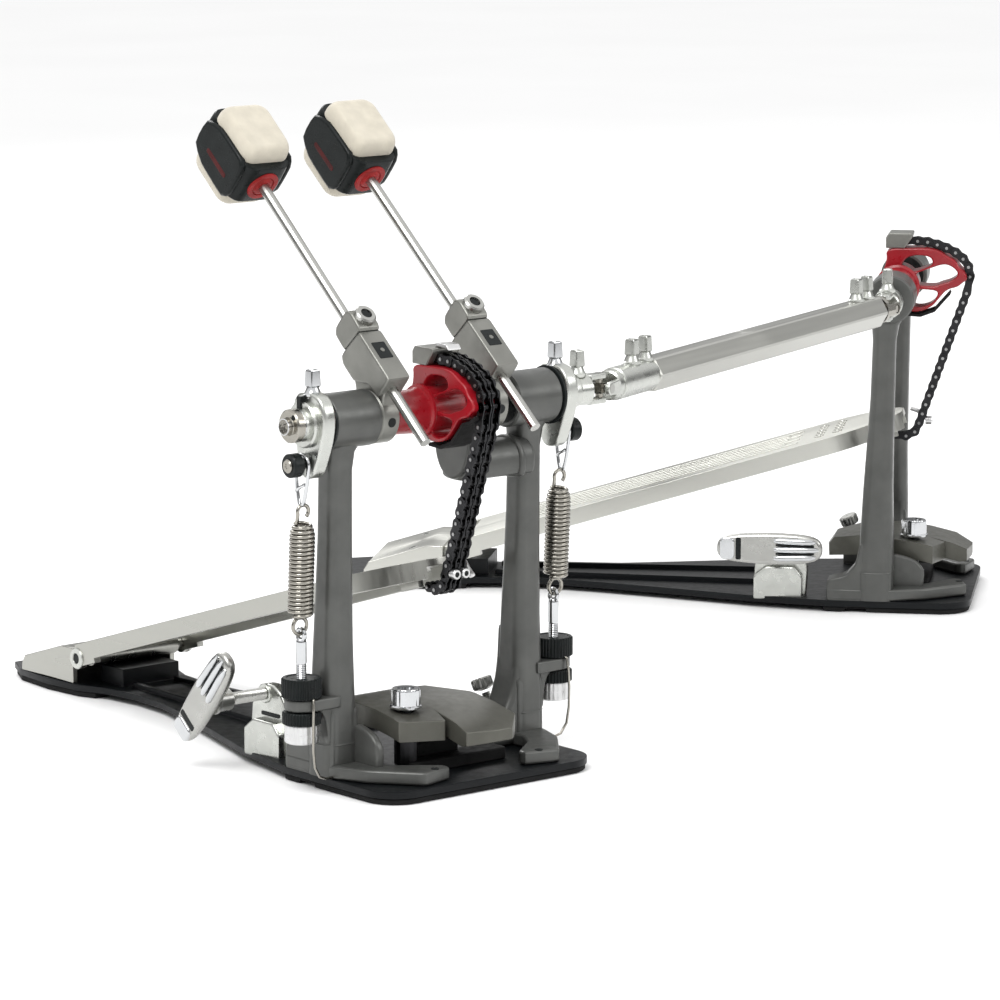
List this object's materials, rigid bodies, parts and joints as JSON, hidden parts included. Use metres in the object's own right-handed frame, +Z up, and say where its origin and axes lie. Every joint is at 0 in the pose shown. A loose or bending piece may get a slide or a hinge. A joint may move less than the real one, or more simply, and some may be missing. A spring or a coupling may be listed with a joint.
{
  "type": "double bass drum pedal",
  "caption": "Floor-standing drum pedal pair: chain-driven cams swing spring-returned beaters, with a jointed shaft carrying the second footboard's motion across.",
  "frame": {"origin": "on the floor under the middle of the main pedal's axle, on the underside of its front rubber", "axes": "+X along the main axle to the player's right, +Y from heel to toe towards the drum, +Z up"},
  "size_m": [0.7428, 0.5573, 0.3554],
  "materials": {
    "casting": "satin grey painted casting",
    "black_paint": "satin black",
    "rubber": "ribbed",
    "board": "brushed along its length",
    "hub": "light grey cast",
    "polished": "polished",
    "nickel": "nickel plated",
    "red": "glossy red",
    "chain": "black oxide with bright rivet ends",
    "nut": "knurled black",
    "head": "cream pads on a black shell"
  },
  "bodies": {
    "frame": {"main_base_plate": "black_paint", "main_front_pad": "rubber", "main_heel_pad": "rubber", "main_heel_plate": "board", "main_right_post": "casting", "main_left_post": "casting", "main_clamp_bracket": "hub", "slave_base_plate": "black_paint", "slave_front_pad": "rubber", "slave_heel_pad": "rubber", "slave_heel_plate": "board", "slave_right_post": "casting", "slave_left_post": "casting", "slave_clamp_bracket": "hub", "main_clamp_spring": "nickel", "right_eyebolt": "polished", "right_upper_nut": "nut", "left_eyebolt": "polished", "left_upper_nut": "nut"},
    "main_board": {"main_footboard": "board"},
    "main_axle_body": {"main_axle": "polished", "main_cam": "red", "main_chain_anchor": "hub", "main_chain_wrap": "chain", "right_hub": "hub", "right_spring_lever": "hub"},
    "main_chain_strand": {"main_chain_drop": "chain"},
    "slave_board": {"slave_footboard": "board"},
    "slave_axle_body": {"slave_axle": "polished", "slave_cam": "red", "slave_chain_anchor": "hub", "slave_chain_wrap": "chain", "slave_axle_fork": "polished"},
    "slave_chain_strand": {"slave_chain_drop": "chain"},
    "drive_shaft": {"drive_tube": "board", "drive_bar": "polished"},
    "left_axle_body": {"left_axle": "polished", "left_hub": "hub", "left_spring_lever": "hub", "main_axle_fork": "polished"},
    "main_cross_body": {"main_cross": "polished"},
    "slave_cross_body": {"slave_cross": "polished"},
    "right_rod": {"right_beater_rod": "polished"},
    "left_rod": {"left_beater_rod": "polished"},
    "right_head": {"right_beater_head": "head"},
    "left_head": {"left_beater_head": "head"},
    "main_lever": {"main_clamp_lever": "polished"},
    "slave_lever": {"slave_clamp_lever": "polished"},
    "main_clamp": {"main_clamp_rocker": "casting", "main_clamp_bolt": "polished"},
    "slave_clamp": {"slave_clamp_rocker": "casting", "slave_clamp_bolt": "polished"},
    "main_spur": {"main_spur_screw": "polished"},
    "slave_spur": {"slave_spur_screw": "polished"},
    "right_nut": {"right_lower_nut": "nickel"},
    "left_nut": {"left_lower_nut": "nickel"},
    "right_spring_low": {"right_spring": "nickel"},
    "left_spring_low": {"left_spring": "nickel"},
    "right_spring_top": {"right_spring_link": "nickel"},
    "left_spring_top": {"left_spring_link": "nickel"}
  },
  "joints": [
    {"name": "main_footboard_hinge", "type": "hinge", "parent": "frame", "child": "main_board", "pos_m": [0, -0.281, 0.0235], "axis": [1, 0, 0], "range_deg": [-7.3, 0], "stiffness_Nm_per_rad": 50, "springref_deg": 2.86},
    {"name": "main_axle_turn", "type": "hinge", "parent": "frame", "child": "main_axle_body", "pos_m": [0, 0, 0.199], "axis": [1, 0, 0], "range_deg": [-48.3, 0.3]},
    {"name": "main_chain_swing", "type": "hinge", "parent": "main_board", "child": "main_chain_strand", "pos_m": [0, 0.0143, 0.1103], "axis": [1, 0, 0], "range_deg": [-0.3, 20.7]},
    {"name": "main_lever_turn", "type": "hinge", "parent": "frame", "child": "main_lever", "pos_m": [0.1, -0.072, 0.04], "axis": [1, 0, 0], "range_deg": [-180, 180]},
    {"name": "main_clamp_tip", "type": "hinge", "parent": "frame", "child": "main_clamp", "pos_m": [0.032, 0.014, 0.036], "axis": [1, 0, 0], "range_deg": [-3.05, 3.05], "deforming": ["main_clamp_spring"]},
    {"name": "main_spur_turn", "type": "hinge", "parent": "frame", "child": "main_spur", "pos_m": [-0.061, -0.036, 0.038], "axis": [0.1252, -0.3757, 0.9183], "continuous": true},
    {"name": "slave_footboard_hinge", "type": "hinge", "parent": "frame", "child": "slave_board", "pos_m": [-0.36986, -0.42593, 0.0235], "axis": [0.7485, 0.6631, 0], "range_deg": [-7.3, 0], "stiffness_Nm_per_rad": 50, "springref_deg": 2.86},
    {"name": "slave_axle_turn", "type": "hinge", "parent": "frame", "child": "slave_axle_body", "pos_m": [-0.5562, -0.2156, 0.199], "axis": [0.7485, 0.6631, 0], "range_deg": [-48.3, 0.3]},
    {"name": "slave_chain_swing", "type": "hinge", "parent": "slave_board", "child": "slave_chain_strand", "pos_m": [-0.56568, -0.2049, 0.1103], "axis": [0.7485, 0.6631, 0], "range_deg": [-0.3, 20.7]},
    {"name": "slave_lever_turn", "type": "hinge", "parent": "frame", "child": "slave_lever", "pos_m": [-0.4336, -0.20318, 0.04], "axis": [0.7485, 0.6631, 0], "range_deg": [-180, 180]},
    {"name": "slave_clamp_tip", "type": "hinge", "parent": "frame", "child": "slave_clamp", "pos_m": [-0.54153, -0.1839, 0.036], "axis": [0.7485, 0.6631, 0], "range_deg": [-3.05, 3.05]},
    {"name": "slave_spur_turn", "type": "hinge", "parent": "frame", "child": "slave_spur", "pos_m": [-0.57798, -0.283, 0.038], "axis": [0.3428, -0.1981, 0.9183], "continuous": true},
    {"name": "drive_shaft_turn", "type": "hinge", "parent": "frame", "child": "drive_shaft", "pos_m": [-0.116, 0, 0.199], "axis": [0.9309, 0.3653, 0], "range_deg": [-48.3, 0.3]},
    {"name": "left_axle_turn", "type": "hinge", "parent": "frame", "child": "left_axle_body", "pos_m": [0, 0, 0.199], "axis": [1, 0, 0], "range_deg": [-48.3, 0.3]},
    {"name": "main_cross_rock", "type": "hinge", "parent": "left_axle_body", "child": "main_cross_body", "pos_m": [-0.116, 0, 0.199], "axis": [0, 0, 1], "range_deg": [-6.9, 0.2]},
    {"name": "slave_cross_rock", "type": "hinge", "parent": "slave_axle_body", "child": "slave_cross_body", "pos_m": [-0.46937, -0.13867, 0.199], "axis": [0, 0, 1], "range_deg": [-0.2, 6.6]},
    {"name": "right_rod_slide", "type": "slide", "parent": "main_axle_body", "child": "right_rod", "axis": [0, -0.749, 0.6626], "range_m": [-0.015, 0.015]},
    {"name": "right_head_turn", "type": "hinge", "parent": "right_rod", "child": "right_head", "pos_m": [0.041, 0.01405, 0.21488], "axis": [0, -0.749, 0.6626], "continuous": true},
    {"name": "right_nut_turn", "type": "hinge", "parent": "frame", "child": "right_nut", "pos_m": [0.0875, -0.005, 0.036], "axis": [0, 0, 1], "continuous": true},
    {"name": "right_spring_tilt", "type": "hinge", "parent": "frame", "child": "right_spring_low", "pos_m": [0.0885, -0.005, 0.086], "axis": [1, 0, 0], "range_deg": [-0.3, 9.9]},
    {"name": "right_spring_stretch", "type": "slide", "parent": "right_spring_low", "child": "right_spring_top", "axis": [0, 0.0543, 0.9985], "range_m": [-0.0003, 0.0072], "deforming": ["right_spring"]},
    {"name": "left_rod_slide", "type": "slide", "parent": "left_axle_body", "child": "left_rod", "axis": [0, -0.7581, 0.6521], "range_m": [-0.015, 0.015]},
    {"name": "left_head_turn", "type": "hinge", "parent": "left_rod", "child": "left_head", "pos_m": [-0.034, 0.01382, 0.21507], "axis": [0, -0.7581, 0.6521], "continuous": true},
    {"name": "left_nut_turn", "type": "hinge", "parent": "frame", "child": "left_nut", "pos_m": [-0.0875, -0.005, 0.036], "axis": [0, 0, 1], "continuous": true},
    {"name": "left_spring_tilt", "type": "hinge", "parent": "frame", "child": "left_spring_low", "pos_m": [-0.0885, -0.005, 0.086], "axis": [1, 0, 0], "range_deg": [-0.3, 9.9]},
    {"name": "left_spring_stretch", "type": "slide", "parent": "left_spring_low", "child": "left_spring_top", "axis": [0, 0.0543, 0.9985], "range_m": [-0.0003, 0.0072], "deforming": ["left_spring"]}
  ],
  "couplings": [
    {"joint": "main_axle_turn", "follows": "main_footboard_hinge", "ratio": 6.5753},
    {"joint": "main_chain_swing", "follows": "main_footboard_hinge", "ratio": -2.78},
    {"joint": "slave_axle_turn", "follows": "slave_footboard_hinge", "ratio": 6.5753},
    {"joint": "slave_chain_swing", "follows": "slave_footboard_hinge", "ratio": -2.78},
    {"joint": "drive_shaft_turn", "follows": "slave_footboard_hinge", "ratio": 6.5753},
    {"joint": "left_axle_turn", "follows": "slave_footboard_hinge", "ratio": 6.5753},
    {"joint": "main_cross_rock", "follows": "slave_footboard_hinge", "ratio": 0.918},
    {"joint": "slave_cross_rock", "follows": "slave_footboard_hinge", "ratio": -0.87},
    {"joint": "main_clamp_tip", "follows": "main_lever_turn", "ratio": 0.016667},
    {"joint": "slave_clamp_tip", "follows": "slave_lever_turn", "ratio": 0.016667},
    {"joint": "right_spring_tilt", "follows": "main_footboard_hinge", "ratio": -1.3014},
    {"joint": "right_spring_stretch", "follows": "main_footboard_hinge", "m_per_rad": -0.0541},
    {"joint": "left_spring_tilt", "follows": "slave_footboard_hinge", "ratio": -1.3014},
    {"joint": "left_spring_stretch", "follows": "slave_footboard_hinge", "m_per_rad": -0.0541}
  ]
}
